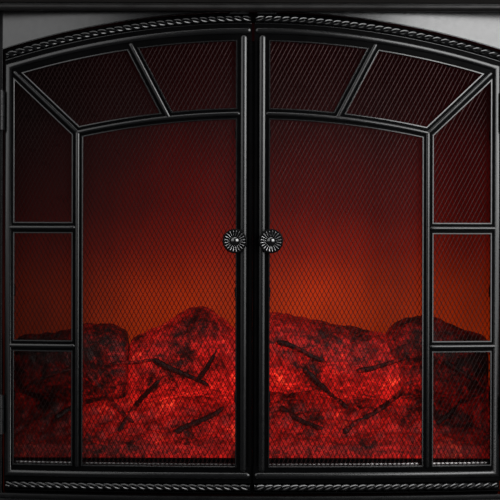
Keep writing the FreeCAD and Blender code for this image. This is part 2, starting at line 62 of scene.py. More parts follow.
# ---- Sizes of the doors ----
SEAM_HALF = 1.5
SEAM_TONGUE = 0.03          # the tongues behind the seam leave this much on each side
DOOR_HALF = box_mm("right_hinge_stile")[1].x
BOW = 30.0
DOOR_THICK = 6.0
DOOR_BOTTOM = box_mm("right_bottom_rail")[0].z
DOOR_HEIGHT = box_mm("right_arch_rail")[1].z - DOOR_BOTTOM
ARCH_R = 1090.0             # middle of the arch bead
ARCH_EDGE_OUT = 20.5        # arch bead to the top edge of the door
ARCH_LIP_IN = 13.0          # arch bead to the windows
INNER_R = 1048.4            # middle of the inner arch bead
INNER_DROP = 102.8
BAR_WIDTH = 14.2
MEETING_EDGE = 21.2
MEETING_BEAD_X = 11.5
HINGE_EDGE = DOOR_HALF - 12.5
HINGE_BEAD_X = DOOR_HALF - 5
SIDE_BAR_X = DOOR_HALF - 92
RAIL_TOP = DOOR_BOTTOM + 34.2
BOTTOM_BEAD_Z = DOOR_BOTTOM + 22.6
BOTTOM_ROPE_Z = DOOR_BOTTOM + 7.8
ROPE_OUT = 15.0
CROSS_BAR_SHARES = (0.306, 0.554)
FAN_SHARES = (0.336, 0.5)
KNOB_X = 22.3
KNOB_Z = DOOR_BOTTOM + 0.527 * DOOR_HEIGHT

BOW_R = (DOOR_HALF ** 2 + BOW ** 2) / (2 * BOW)
HALF_BAR = BAR_WIDTH / 2
EDGE_R = ARCH_R + ARCH_EDGE_OUT
LIP_R = ARCH_R - ARCH_LIP_IN
ARCH_Z = DOOR_BOTTOM + DOOR_HEIGHT - EDGE_R
INNER_Z = ARCH_Z + ARCH_R - INNER_DROP - INNER_R
CROSS_BARS = [DOOR_BOTTOM + share * DOOR_HEIGHT for share in CROSS_BAR_SHARES]

STEP = 6.0                  # spacing of the stations along a curved member
BEAD_FACETS = 11            # points over the crown of a bead
NOSE_TURNS = (20, 42, 63, 82)       # degrees, of the rings that round off its ends
ROPE_STEPS = 14             # rings to each turn of a rope
ROPE_FACETS = 10            # points round each of its strands
ROPE_FULLNESS = 1.12        # strands this much thicker than ones that only touch
SUNK = 0.4                  # how far a raised line starts inside the face it stands on


# ---- Materials ----

INSERT_HALF = 0.31          # half the width of the glowing insert, in metres
# Brightness over that width: (share from the left, amount).
FILM_WIDTH = ((0.0, 0.10), (0.13, 0.24), (0.34, 0.90), (0.60, 1.0), (0.85, 0.85), (1.0, 0.60))
EMBER_WIDTH = ((0.0, 0.07), (0.12, 0.14), (0.17, 0.60), (0.32, 1.05), (0.82, 1.0), (0.90, 0.30), (1.0, 0.26))
COAT_ROUGHNESS = 0.12
DUSTIER = 1.7               # lightness of the dusty patches of paint
DULLER = 0.55               # and of the dull patches of steel
VEIN_WOBBLE = 0.035         # share of noise that bends the cracks
MIX_FACTOR, MIX_FIRST, MIX_SECOND, MIX_RESULT = 0, 4, 5, 1      # of a vector mix


def set_inputs(node, values):
    for socket, value in values.items():
        node.inputs[socket].default_value = value


def new_material(name, color, roughness, metallic=0.0, specular=0.5):
    """A new material with its node tree and its shader node."""
    made = bpy.data.materials.new(name)
    made.use_nodes = True
    shader = made.node_tree.nodes["Principled BSDF"]
    set_inputs(shader, {"Base Color": (*color, 1), "Roughness": roughness, "Metallic": metallic,
                        "Specular IOR Level": specular})
    return made, made.node_tree, shader


def object_coords(tree):
    return tree.nodes.new("ShaderNodeTexCoord").outputs["Object"]


def noise_of(tree, scale, detail=4.0, stretch=(1, 1, 1), rough=0.55):
    """A noise value over the object, with its features about 1 / scale metres across."""
    mapping = tree.nodes.new("ShaderNodeMapping")
    mapping.inputs["Scale"].default_value = stretch
    tree.links.new(object_coords(tree), mapping.inputs["Vector"])
    node = tree.nodes.new("ShaderNodeTexNoise")
    set_inputs(node, {"Scale": scale, "Detail": detail, "Roughness": rough})
    tree.links.new(mapping.outputs["Vector"], node.inputs["Vector"])
    return node.outputs[0]


def ranged(tree, value, low, high, out_low, out_high):
    """A value carried from one range to another."""
    node = tree.nodes.new("ShaderNodeMapRange")
    set_inputs(node, {"From Min": low, "From Max": high, "To Min": out_low, "To Max": out_high})
    tree.links.new(value, node.inputs["Value"])
    return node.outputs["Result"]


def maths(tree, operation, first, second):
    """A sum on two values, each a number or a socket."""
    node = tree.nodes.new("ShaderNodeMath")
    node.operation = operation
    for socket, value in zip(node.inputs, (first, second)):
        if isinstance(value, (int, float)):
            socket.default_value = value
        else:
            tree.links.new(value, socket)
    return node.outputs[0]


def ramp(tree, value, stops):
    """Colours along a value; stops are (place, colour)."""
    node = tree.nodes.new("ShaderNodeValToRGB")
    elements = node.color_ramp.elements
    while len(elements) < len(stops):
        elements.new(0.5)
    for element, (place, color) in zip(elements, stops):
        element.position = place
        element.color = (*color, 1)
    tree.links.new(value, node.inputs["Fac"])
    return node.outputs["Color"]


def tinted(tree, color, factor):
    """A colour times a value."""
    node = tree.nodes.new("ShaderNodeVectorMath")
    node.operation = "SCALE"
    tree.links.new(color, node.inputs[0])
    tree.links.new(factor, node.inputs["Scale"])
    return node.outputs["Vector"]


def uneven_gloss(tree, shader, value, low, high):
    """Roughness that follows a value between two limits."""
    tree.links.new(ranged(tree, value, 0.3, 0.7, low, high), shader.inputs["Roughness"])


def bumped(tree, shader, height, distance):
    node = tree.nodes.new("ShaderNodeBump")
    set_inputs(node, {"Distance": distance})
    tree.links.new(height, node.inputs["Height"])
    tree.links.new(node.outputs["Normal"], shader.inputs["Normal"])


def enamel(name, color, roughness, spread, grain, depth, specular=0.5, coat=0.0):
    """Black stoved paint: an even colour with dusty patches, uneven gloss and a fine orange-peel skin."""
    made, tree, shader = new_material(name, color, roughness, specular=specular)
    set_inputs(shader, {"Coat Weight": coat, "Coat Roughness": COAT_ROUGHNESS})
    patches = noise_of(tree, 45.0, detail=6.0)
    dusty = tuple(channel * DUSTIER + 0.0003 for channel in color)
    tree.links.new(ramp(tree, patches, ((0.35, color), (0.8, dusty))), shader.inputs["Base Color"])
    uneven_gloss(tree, shader, noise_of(tree, 160.0), roughness - spread, roughness + spread)
    bumped(tree, shader, noise_of(tree, grain, detail=2.0), depth)
    return made


def lacquered_wood(name, roughness, specular):
    """Black lacquer on board, with a faint grain along its length."""
    dark, light = (0.003, 0.0027, 0.0026), (0.007, 0.006, 0.0056)
    made, tree, shader = new_material(name, dark, roughness, specular=specular)
    grain = noise_of(tree, 60.0, detail=8.0, stretch=(0.08, 1, 1), rough=0.7)
    tree.links.new(ramp(tree, grain, ((0.3, dark), (0.75, light))), shader.inputs["Base Color"])
    uneven_gloss(tree, shader, noise_of(tree, 25.0), roughness - 0.05, roughness + 0.07)
    bumped(tree, shader, grain, 0.0001)
    return made


def drawn_steel(name, color, roughness, metallic):
    """Rolled or turned steel, with fine scratches and duller patches."""
    made, tree, shader = new_material(name, color, roughness, metallic=metallic)
    patches = noise_of(tree, 70.0, detail=5.0)
    dull = tuple(channel * DULLER for channel in color)
    tree.links.new(ramp(tree, patches, ((0.3, dull), (0.7, color))), shader.inputs["Base Color"])
    uneven_gloss(tree, shader, patches, roughness + 0.15, roughness - 0.08)
    bumped(tree, shader, noise_of(tree, 500.0, stretch=(1, 1, 0.1)), 0.00004)
    return made


def moulded_plastic(name, color, roughness):
    """Plastic or rubber with a fine spark-eroded skin."""
    made, tree, shader = new_material(name, color, roughness)
    uneven_gloss(tree, shader, noise_of(tree, 120.0), roughness - 0.06, roughness + 0.08)
    bumped(tree, shader, noise_of(tree, 2500.0, detail=1.0), 0.00003)
    return made


def across_width(tree, shares):
    """How bright the insert is over its width: dimmest at the far left, brightest near the middle."""
    split = tree.nodes.new("ShaderNodeSeparateXYZ")
    tree.links.new(object_coords(tree), split.inputs["Vector"])
    share = ranged(tree, split.outputs["X"], -INSERT_HALF, INSERT_HALF, 0.0, 1.0)
    return ramp(tree, share, [(place, (amount,) * 3) for place, amount in shares])


def height_of(tree, low, high):
    """0 to 1 between two heights, in millimetres."""
    split = tree.nodes.new("ShaderNodeSeparateXYZ")
    tree.links.new(object_coords(tree), split.inputs["Vector"])
    return ranged(tree, split.outputs["Z"], low * MM, high * MM, 0.0, 1.0)


def veins_of(tree, scale):
    """Distance to the nearest crack of a cracked surface."""
    node = tree.nodes.new("ShaderNodeTexVoronoi")
    node.feature = "DISTANCE_TO_EDGE"
    node.inputs["Scale"].default_value = scale
    wobble = tree.nodes.new("ShaderNodeTexNoise")
    set_inputs(wobble, {"Scale": scale * 1.5, "Detail": 3.0})
    tree.links.new(object_coords(tree), wobble.inputs["Vector"])
    blend = tree.nodes.new("ShaderNodeMix")
    blend.data_type = "VECTOR"
    blend.inputs[MIX_FACTOR].default_value = VEIN_WOBBLE
    tree.links.new(object_coords(tree), blend.inputs[MIX_FIRST])
    tree.links.new(wobble.outputs["Color"], blend.inputs[MIX_SECOND])
    tree.links.new(blend.outputs[MIX_RESULT], node.inputs["Vector"])
    return node.outputs["Distance"]


def facing_up(tree):
    """How far a face looks up: 1 upwards, -1 downwards."""
    normal = tree.nodes.new("ShaderNodeNewGeometry")
    split = tree.nodes.new("ShaderNodeSeparateXYZ")
    tree.links.new(normal.outputs["Normal"], split.inputs["Vector"])
    return split.outputs["Z"]


def ember_glow(name, dark_share, strength):
    """Cast resin lit from inside: red where thin, orange where thinnest, nearly black where thick. Its glow
    also carries painted shade: brighter on faces turned down, dimmer on faces turned up and higher up the
    bed.
    """
    made, tree, shader = new_material(name, (0.004, 0.002, 0.0015), 0.5, specular=0.12)
    patches = maths(tree, "MULTIPLY", noise_of(tree, 19.0, detail=3.0), 0.48)
    grain = maths(tree, "MULTIPLY", noise_of(tree, 120.0, detail=5.0, rough=0.70), 0.52)
    glow = ramp(tree, maths(tree, "ADD", patches, grain), (
        (dark_share, (0.012, 0.0012, 0.0008)),
        (dark_share + 0.05, (0.075, 0.0022, 0.0016)),
        (dark_share + 0.11, (0.21, 0.0040, 0.0030)),
        (dark_share + 0.20, (0.33, 0.006, 0.0045)),
        (dark_share + 0.28, (0.75, 0.045, 0.018)),
    ))
    gaps = ranged(tree, veins_of(tree, 62.0), 0.01, 0.13, 1.9, 0.80)
    # Painted light from below: the glow is brighter on faces turned down and dimmer on faces turned up.
    painted_underlight = ranged(tree, facing_up(tree), -0.6, 0.9, 1.15, 0.65)
    # Painted shade: the glow fades to about a third between 225 and 275 mm up.
    painted_dimming_up = ranged(tree, height_of(tree, 225, 275), 0.0, 1.0, 1.0, 0.35)
    light = maths(tree, "MULTIPLY", maths(tree, "MULTIPLY", gaps, painted_underlight), painted_dimming_up)
    shaded = tinted(tree, tinted(tree, glow, across_width(tree, EMBER_WIDTH)), light)
    tree.links.new(shaded, shader.inputs["Emission Color"])
    shader.inputs["Emission Strength"].default_value = strength
    bumped(tree, shader, noise_of(tree, 240.0, detail=6.0), 0.0015)
    return made


def flame_film(name):
    """The lit back panel: orange just over the logs, dark red and smoky higher up."""
    made, tree, shader = new_material(name, (0.004, 0.002, 0.002), 0.6, specular=0.1)
    glow = ramp(tree, height_of(tree, 200, 640), (
        (0.00, (0.34, 0.025, 0.0010)),
        (0.20, (0.30, 0.018, 0.0010)),
        (0.32, (0.17, 0.006, 0.0010)),
        (0.44, (0.085, 0.0020, 0.0008)),
        (0.58, (0.045, 0.0010, 0.0008)),
        (0.72, (0.014, 0.0005, 0.0006)),
        (1.00, (0.004, 0.0003, 0.0004)),
    ))
    smoke = ranged(tree, noise_of(tree, 8.0, detail=3.0, stretch=(1, 1, 0.6)), 0.3, 0.7, 0.65, 1.35)
    shaded = tinted(tree, tinted(tree, glow, across_width(tree, FILM_WIDTH)), smoke)
    tree.links.new(shaded, shader.inputs["Emission Color"])
    shader.inputs["Emission Strength"].default_value = 1.0
    return made


def lamp_cover(name):
    """The lit cover of the lamp bar under the bed."""
    made, tree, shader = new_material(name, (0.8, 0.5, 0.4), 0.5)
    glow = ramp(tree, noise_of(tree, 30.0), ((0.3, (0.7, 0.10, 0.03)), (0.7, (1.0, 0.22, 0.06))))
    tree.links.new(glow, shader.inputs["Emission Color"])
    shader.inputs["Emission Strength"].default_value = 1.5
    return made


JET = (0.0012, 0.0012, 0.0013)
INK = (0.0010, 0.0010, 0.0011)

# What makes each material, and what it is given.
LOOKS = {
    # enamel: colour, roughness and its spread, fineness and depth of the skin, specular, clear coat
    "black_enamel": (enamel, (0.0008, 0.0008, 0.0009), 0.45, 0.06, 900.0, 0.00004, 0.02),
    "raised_line": (enamel, JET, 0.25, 0.02, 900.0, 0.000002, 0.62),
    "header_enamel": (enamel, JET, 0.22, 0.02, 900.0, 0.00001, 0.95),
    "case_enamel": (enamel, (0.0025, 0.0025, 0.0027), 0.36, 0.06, 900.0, 0.00004, 0.18),
    "case_sheet": (enamel, (0.016, 0.016, 0.017), 0.44, 0.08, 1500.0, 0.00007, 0.45),
    "rope_trim": (enamel, INK, 0.13, 0.02, 1200.0, 0.00001, 0.7),
    "knob_iron": (enamel, INK, 0.11, 0.02, 1400.0, 0.000004, 1.0, 0.6),
    "knob_ground": (enamel, INK, 0.40, 0.03, 1400.0, 0.00001, 0.1),
    "hinge_iron": (enamel, (0.004, 0.004, 0.0043), 0.40, 0.08, 1100.0, 0.00005, 0.3),
    # lacquered_wood: roughness, specular
    "top_lacquer": (lacquered_wood, 0.52, 0.04),
    "cornice_lacquer": (lacquered_wood, 0.34, 0.7),
    # drawn_steel: colour, roughness, metallic
    # mesh_steel: the mesh is black-painted steel; the pink in this colour is painted glow from the lit
    # insert behind it.
    "mesh_steel": (drawn_steel, (0.040, 0.024, 0.024), 0.32, 0.9),
    # The petals are the knob's black iron: this pale metal is a painted highlight.
    "petal_iron": (drawn_steel, (0.46, 0.46, 0.465), 0.24, 1.0),
    "bright_steel": (drawn_steel, (0.62, 0.61, 0.60), 0.28, 1.0),
    "retainer_steel": (drawn_steel, (0.20, 0.19, 0.19), 0.34, 1.0),
    # moulded_plastic: colour, roughness
    "catch_plastic": (moulded_plastic, (0.022, 0.022, 0.024), 0.42),
    "foot_rubber": (moulded_plastic, (0.018, 0.018, 0.018), 0.75),
    # ember_glow: how much of it is dark, strength
    "ember_resin": (ember_glow, 0.38, 1.15),
    "log_resin": (ember_glow, 0.38, 1.25),
    # The far logs: the same resin with painted shade, glowing dimmer.
    "cool_log_resin": (ember_glow, 0.45, 0.9),
    "branch_resin": (ember_glow, 0.49, 0.9),
    "glow_film": (flame_film,),
    "lamp_white": (lamp_cover,),
}
MATERIALS = {name: make(name, *values) for name, (make, *values) in LOOKS.items()}


# ---- Mesh building ----

def add_piece(name, body, slot, shape, sharp=40.0, stands_for=(), look=None):
    """A shape in millimetres as a piece on a body. Its look is its slot's own material unless named."""
    points, faces = shape
    mesh = bpy.data.meshes.new(name)
    mesh.from_pydata((np.asarray(points, float) * MM).tolist(), [], faces)
    work = bmesh.new()
    work.from_mesh(mesh)
    bmesh.ops.recalc_face_normals(work, faces=work.faces)
    work.to_mesh(mesh)
    work.free()
    mesh.shade_smooth()
    mesh.set_sharp_from_angle(angle=math.radians(sharp))
    mesh.materials.append(MATERIALS[look or slot])
    piece = bpy.data.objects.new(name, mesh)
    bpy.context.scene.collection.objects.link(piece)
    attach(piece, body)
    if stands_for:
        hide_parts(*stands_for)


def loft(rings, looped=False):
    """Points and faces of a skin over rings of points, capped at both ends unless it is looped."""
    rings = np.asarray(rings, float)
    count, around = rings.shape[:2]
    faces = []
    for ring in range(count if looped else count - 1):
        here, ahead = ring * around, (ring + 1) % count * around
        for spot in range(around):
            after = (spot + 1) % around
            faces.append((here + spot, here + after, ahead + after, ahead + spot))
    if not looped:
        faces += [tuple(range(around)), tuple(range((count - 1) * around, count * around))]
    return rings.reshape(-1, 3), faces


def joined(parts):
    """Several (points, faces) as one."""
    points, faces = [], []
    for part_points, part_faces in parts:
        start = sum(len(group) for group in points)
        points.append(np.asarray(part_points, float))
        faces += [tuple(start + index for index in face) for face in part_faces]
    return np.concatenate(points), faces


def circle(count):
    """Angles spread evenly round a circle."""
    return [2 * math.pi * step / count for step in range(count)]


def bow_y(x):
    """Where the bowed front is at x."""
    return BOW_R - BOW - np.sqrt(BOW_R ** 2 - np.asarray(x) ** 2)


def placed(shape, hand):
    """A flat shape (x, z, depth) of the right-hand door on the bowed front; hand is -1 for the left door."""
    x, z, depth = np.asarray(shape[0], float).T
    return np.stack([hand * x, bow_y(x) - depth, z], 1), shape[1]


def arc(radius, centre_z):
    """Height of an arch over x."""
    return lambda x: centre_z + np.sqrt(radius ** 2 - np.asarray(x, float) ** 2)


def level(z):
    """Height of a level line over x."""
    return lambda x: np.full_like(np.asarray(x, float), z)


def stations(x0, x1):
    """Places along a member, about STEP apart."""
    return np.linspace(x0, x1, max(2, round(abs(x1 - x0) / STEP) + 1))


def along(height, x0, x1):
    """Points (x, z) of a curve from x0 to x1."""
    xs = stations(x0, x1)
    return np.stack([xs, height(xs)], 1)


def meeting_of(first, second, low, high):
    """The x between low and high at which two curves cross."""
    rising = first(low) < second(low)
    for _ in range(40):
        middle = (low + high) / 2
        if (first(middle) < second(middle)) == rising:
            low = middle
        else:
            high = middle
    return (low + high) / 2


def strip(profile, x0, x1):
    """A member that runs sideways. Its profile is (height curve, depth), and its ends are upright."""
    xs = stations(x0, x1)
    return loft([[(x, float(height(x)), depth) for height, depth in profile] for x in xs])


def column(profile, low, high):
    """A member that runs upright. Its profile is (x, depth), and its ends follow two height curves."""
    return loft([[(x, float(end(x)), depth) for x, depth in profile] for end in (low, high)])


def sweep_rings(path, profile, looped=False):
    """Rings made by carrying a profile of (across, depth) along a path of (x, z), mitred at its corners."""
    path = np.asarray(path, float)
    ahead = np.roll(path, -1, 0) - path
    if not looped:
        ahead[-1] = ahead[-2]
    ahead /= np.linalg.norm(ahead, axis=1, keepdims=True)
    behind = np.roll(ahead, 1, 0)
    if not looped:
        behind[0] = ahead[0]
    side_a = np.stack([-behind[:, 1], behind[:, 0]], 1)
    side_b = np.stack([-ahead[:, 1], ahead[:, 0]], 1)
    mitre = (side_a + side_b) / (1 + (side_a * side_b).sum(1, keepdims=True))
    return np.array([[(point[0] + across * side[0], point[1] + across * side[1], depth)
                      for across, depth in profile] for point, side in zip(path, mitre)])


def half_round(width, proud):
    """Profile of a bead, a half round that starts a little inside its face."""
    turns = np.linspace(0, math.pi, BEAD_FACETS)
    crown = [(width / 2 * math.cos(turn), proud * math.sin(turn)) for turn in turns]
    return crown + [(-width / 2, -SUNK), (width / 2, -SUNK)]


def bead(path, width, proud):
    """A half-round bead along a path, with rounded ends."""
    rings = sweep_rings(path, half_round(width, proud))
    path = np.asarray(path, float)
    ends = []
    for end, inner, ring in ((path[0], path[1], rings[0]), (path[-1], path[-2], rings[-1])):
        out = (end - inner) / np.linalg.norm(end - inner)
        nose = []
        for turn in np.radians(NOSE_TURNS):
            shrunk = ring.copy()
            shrunk[:, :2] = end + (ring[:, :2] - end) * math.cos(turn) + out * width / 2 * math.sin(turn)
            shrunk[:, 2] = np.where(ring[:, 2] > 0, ring[:, 2] * math.cos(turn), ring[:, 2])
            nose.append(shrunk)
        ends.append(nose)
    return loft(np.concatenate([ends[0][::-1], rings, ends[1]]))


def rope(path, radius, pitch, depth, strands=3):
    """Twisted strands about a path; the twist rises to the right on the face of the right-hand door."""
    path = np.asarray(path, float)
    lengths = np.concatenate([[0], np.cumsum(np.linalg.norm(np.diff(path, axis=0), axis=1))])
    spots = np.arange(0, lengths[-1], pitch / ROPE_STEPS)
    xs, zs = (np.interp(spots, lengths, path[:, axis]) for axis in (0, 1))
    ahead = np.stack([np.gradient(xs), np.gradient(zs)], 1)
    ahead /= np.linalg.norm(ahead, axis=1, keepdims=True)
    up = np.stack([-ahead[:, 1], ahead[:, 0]], 1)
    thick = radius / (1 + 2 / math.sqrt(3)) * ROPE_FULLNESS
    reach = radius - thick
    parts = []
    for strand in range(strands):
        rings = []
        for x, z, side, spot in zip(xs, zs, up, spots):
            turn = 2 * math.pi * (spot / pitch + strand / strands)
            middle_up, middle_out = reach * math.sin(turn), depth + reach * math.cos(turn)
            ring = []
            for corner in circle(ROPE_FACETS):
                across = middle_up + thick * math.sin(corner)
                out = middle_out + thick * math.cos(corner)
                ring.append((x + across * side[0], z + across * side[1], out))
            rings.append(ring)
        parts.append(loft(rings))
    return joined(parts)


# ---- The lattice of a door ----

LOW_RAIL = level(RAIL_TOP)
ARCH_LOW = arc(LIP_R, ARCH_Z)
INNER_LOW = arc(INNER_R - HALF_BAR, INNER_Z)
INNER_HIGH = arc(INNER_R + HALF_BAR, INNER_Z)
INNER_MID = arc(INNER_R, INNER_Z)
ARCH_MID = arc(ARCH_R, ARCH_Z)

CORNER_ENDS = ((SIDE_BAR_X, float(INNER_MID(SIDE_BAR_X))), (HINGE_BEAD_X, float(ARCH_MID(HINGE_BEAD_X))))
FAN_ENDS = tuple((share * DOOR_HALF, float(curve(share * DOOR_HALF)))
                 for share, curve in zip(FAN_SHARES, (INNER_MID, ARCH_MID)))


def bar_edge(ends, side):
    """One edge of a slanted bar as a height curve; side is 1 for the upper edge, -1 for the lower."""
    (x0, z0), (x1, z1) = ends
    slope = (z1 - z0) / (x1 - x0)
    rise = side * HALF_BAR * math.sqrt(1 + slope ** 2)
    return lambda x: z0 + slope * (np.asarray(x, float) - x0) + rise


CORNER_LOW, CORNER_HIGH = bar_edge(CORNER_ENDS, -1), bar_edge(CORNER_ENDS, 1)
FAN_LEFT, FAN_RIGHT = bar_edge(FAN_ENDS, 1), bar_edge(FAN_ENDS, -1)


def window_outlines():
    """The six windows of a door, each run anticlockwise."""
    side_in, side_out = SIDE_BAR_X - HALF_BAR, SIDE_BAR_X + HALF_BAR
    tall = [along(LOW_RAIL, MEETING_EDGE, side_in), along(INNER_LOW, side_in, MEETING_EDGE)]
    floors = [RAIL_TOP] + [z + HALF_BAR for z in CROSS_BARS]
    roofs = [level(z - HALF_BAR) for z in CROSS_BARS] + [CORNER_LOW]
    beside = [[along(level(floor), side_out, HINGE_EDGE), along(roof, HINGE_EDGE, side_out)]
              for floor, roof in zip(floors, roofs)]
    fan_reach = FAN_ENDS[1][0] + HALF_BAR
    left_foot = meeting_of(FAN_LEFT, INNER_HIGH, FAN_ENDS[0][0] - 2 * HALF_BAR, fan_reach)
    left_head = meeting_of(FAN_LEFT, ARCH_LOW, left_foot, fan_reach)
    right_foot = meeting_of(FAN_RIGHT, INNER_HIGH, FAN_ENDS[0][0], fan_reach)
    right_head = meeting_of(FAN_RIGHT, ARCH_LOW, right_foot, fan_reach)
    corner_foot = meeting_of(CORNER_HIGH, INNER_HIGH, SIDE_BAR_X - 2 * HALF_BAR, SIDE_BAR_X + HALF_BAR)
    corner_head = meeting_of(CORNER_HIGH, ARCH_LOW, SIDE_BAR_X, HINGE_EDGE)
    left_fan = [along(INNER_HIGH, MEETING_EDGE, left_foot), along(FAN_LEFT, left_foot, left_head),
                along(ARCH_LOW, left_head, MEETING_EDGE)]
    right_fan = [along(INNER_HIGH, right_foot, corner_foot), along(CORNER_HIGH, corner_foot, corner_head),
                 along(ARCH_LOW, corner_head, right_head), along(FAN_RIGHT, right_head, right_foot)]
    outlines = []
    for runs in [tall, *beside, left_fan, right_fan]:
        loop = np.concatenate(runs)
        fresh = np.linalg.norm(loop - np.roll(loop, 1, 0), axis=1) > 0.05
        outlines.append(loop[fresh])
    return outlines


LIP_PROFILE = ((0, -3.0), (0, 0.95), (-0.2, 1.12), (-1.4, 1.15), (-1.6, 0.95), (-1.6, -SUNK), (-1.6, -3.0))
BACK = -DOOR_THICK
GROOVE = -2.8               # depth of the grooves that the ropes lie in
BAR_FACE = -0.15            # slanted bars lie this far under the face, so that no two faces coincide


def arch_rail():
    """The top rail: a flat, a fine line, a groove for the rope, and an outer line."""
    profile = [(arc(ARCH_R + out, ARCH_Z), depth) for out, depth in (
        (-ARCH_LIP_IN, BACK), (-ARCH_LIP_IN, -0.5), (0.5 - ARCH_LIP_IN, 0),
        (8.9, 0), (9.2, 0.8), (9.7, 1.05), (10.2, 0.8), (10.5, GROOVE),
        (19.3, GROOVE), (19.5, 0.3), (20.0, 0.6), (ARCH_EDGE_OUT, 0.2), (ARCH_EDGE_OUT, BACK))]
    return strip(profile, SEAM_HALF, DOOR_HALF)


def bottom_rail():
    """The bottom rail: a fine line, a groove for the rope, another line, and a flat."""
    profile = [(level(DOOR_BOTTOM + up), depth) for up, depth in (
        (0, BACK), (0, -0.6), (0.5, 0), (1.0, 0.6), (1.5, 0.8), (2.1, 0.5), (2.5, GROOVE),
        (13.2, GROOVE), (13.5, 0.5), (14.0, 0.8), (14.5, 0.5), (14.9, 0),
        (33.7, 0), (34.2, -0.5), (34.2, BACK))]
    return strip(profile, SEAM_HALF, DOOR_HALF)


def hinge_stile():
    """The outer upright, with its outer edge eased."""
    profile = [(HINGE_EDGE, BACK), (HINGE_EDGE, 0), (DOOR_HALF - 0.8, 0), (DOOR_HALF, -0.8),
               (DOOR_HALF, BACK)]
    return column(profile, LOW_RAIL, ARCH_LOW)


def meeting_stile():
    """The inner upright. A tongue at the back of its edge closes most of the seam between the doors."""
    tongue = [(SEAM_TONGUE, BACK), (SEAM_TONGUE, -3.0), (SEAM_HALF, -3.0), (SEAM_HALF, -0.9)]
    quirk = [(2.4, 0), (4.9, 0), (5.5, -1.4), (6.6, -1.4), (7.2, 0)]
    return column([*tongue, *quirk, (MEETING_EDGE, 0), (MEETING_EDGE, BACK)], LOW_RAIL, ARCH_LOW)


def flat_column(x0, x1, low, high):
    return column([(x0, BACK), (x0, 0), (x1, 0), (x1, BACK)], low, high)


def flat_strip(x0, x1, low, high):
    return strip([(low, BACK), (low, 0), (high, 0), (high, BACK)], x0, x1)


def slanted_bar(ends, tuck):
    """A slanted bar whose ends run on under its neighbours by tuck."""
    start, end = np.array(ends[0]), np.array(ends[1])
    direction = (end - start) / np.linalg.norm(end - start)
    path = np.linspace(start + direction * tuck[0], end - direction * tuck[1], 14)
    foot = BACK - BAR_FACE
    profile = ((HALF_BAR, foot), (HALF_BAR, BAR_FACE), (-HALF_BAR, BAR_FACE), (-HALF_BAR, foot))
    return loft(sweep_rings(path, profile))


def cross_bars():
    """The two short bars between the side bar and the hinge stile."""
    side_out = SIDE_BAR_X + HALF_BAR
    return joined([flat_strip(side_out, HINGE_EDGE, level(z - HALF_BAR), level(z + HALF_BAR))
                   for z in CROSS_BARS])


def lattice_members():
    """Flat members of the lattice, by the CAD node that each stands for."""
    side_in, side_out = SIDE_BAR_X - HALF_BAR, SIDE_BAR_X + HALF_BAR
    return {
        "arch_rail": arch_rail(),
        "bottom_rail": bottom_rail(),
        "hinge_stile": hinge_stile(),
        "meeting_stile": meeting_stile(),
        "side_bar": flat_column(side_in, side_out, LOW_RAIL, INNER_HIGH),
        "inner_arch_bar": flat_strip(MEETING_EDGE, side_in, INNER_LOW, INNER_HIGH),
        "corner_bar": slanted_bar(CORNER_ENDS, (4.0, 3.0)),
        "fan_bar": slanted_bar(FAN_ENDS, (2.0, 2.0)),
        "cross_bars": cross_bars(),
    }


WIDE_BEAD = (8.4, 2.6)      # width and height of the beads round a door
SLIM_BEAD = (5.8, 2.4)      # and of those on the inner bars


def lattice_beads():
    """The half-round lines on the lattice. Those round the door are wider."""
    wide, slim = WIDE_BEAD, SLIM_BEAD
    seam = SEAM_HALF + 1 + wide[0] / 2
    around = np.concatenate([
        along(ARCH_MID, seam, HINGE_BEAD_X),
        along(level(BOTTOM_BEAD_Z), HINGE_BEAD_X, seam),
    ])
    stile_low = BOTTOM_BEAD_Z + wide[0]
    stile_high = float(ARCH_MID(MEETING_BEAD_X)) - wide[0] * 1.1
    side_high = float(INNER_MID(SIDE_BAR_X))
    near = MEETING_BEAD_X + wide[0] / 2 + slim[0] / 2
    bar_ends = CORNER_ENDS[1][0] - 8, CORNER_ENDS[1][1] - 7.6
    fan_foot, fan_head = (np.array(end) for end in FAN_ENDS)
    fan_way = (fan_head - fan_foot) / np.linalg.norm(fan_head - fan_foot)
    runs = {
        "outer_bead": (around, wide),
        "meeting_bead": ([(MEETING_BEAD_X, stile_low), (MEETING_BEAD_X, stile_high)], wide),
        "side_bead": ([(SIDE_BAR_X, BOTTOM_BEAD_Z + 11), (SIDE_BAR_X, side_high)], slim),
        "inner_arch_bead": (along(INNER_MID, near, SIDE_BAR_X), slim),
        "corner_bead": (np.linspace(CORNER_ENDS[0], bar_ends, 14), slim),
        "fan_bead": (np.linspace(fan_foot + fan_way * 2, fan_head - fan_way * 7.5, 10), slim),
    }
    for place, z in zip(("low", "high"), CROSS_BARS):
        runs["cross_bead_" + place] = (along(level(z), SIDE_BAR_X + slim[0] * 0.9, HINGE_BEAD_X), slim)
    return {name: bead(path, *size) for name, (path, size) in runs.items()}


ROPE_RADIUS = 5.0
ROPE_PITCH = 31.8           # length of one turn of a strand
ROPE_DEPTH = -1.0           # its middle, out of the door's face
ROPE_ENDS = (SEAM_HALF + 1.5, DOOR_HALF - 1.5)
LINE_UNDER = 6.2            # middle of the arched rope to the fine line under it
LINE_SIZE = (1.9, 1.1)      # its width and height


def rope_runs():
    """The twisted ropes along the top and the bottom of a door."""
    paths = {"arch_rope": arc(ARCH_R + ROPE_OUT, ARCH_Z), "bottom_rope": level(BOTTOM_ROPE_Z)}
    return {name: rope(along(path, *ROPE_ENDS), ROPE_RADIUS, ROPE_PITCH, ROPE_DEPTH)
            for name, path in paths.items()}


def rope_line():
    """The fine raised line that the arched rope rests on."""
    return bead(along(arc(ARCH_R + ROPE_OUT - LINE_UNDER, ARCH_Z), *ROPE_ENDS), *LINE_SIZE)


# ---- Mesh and knob ----

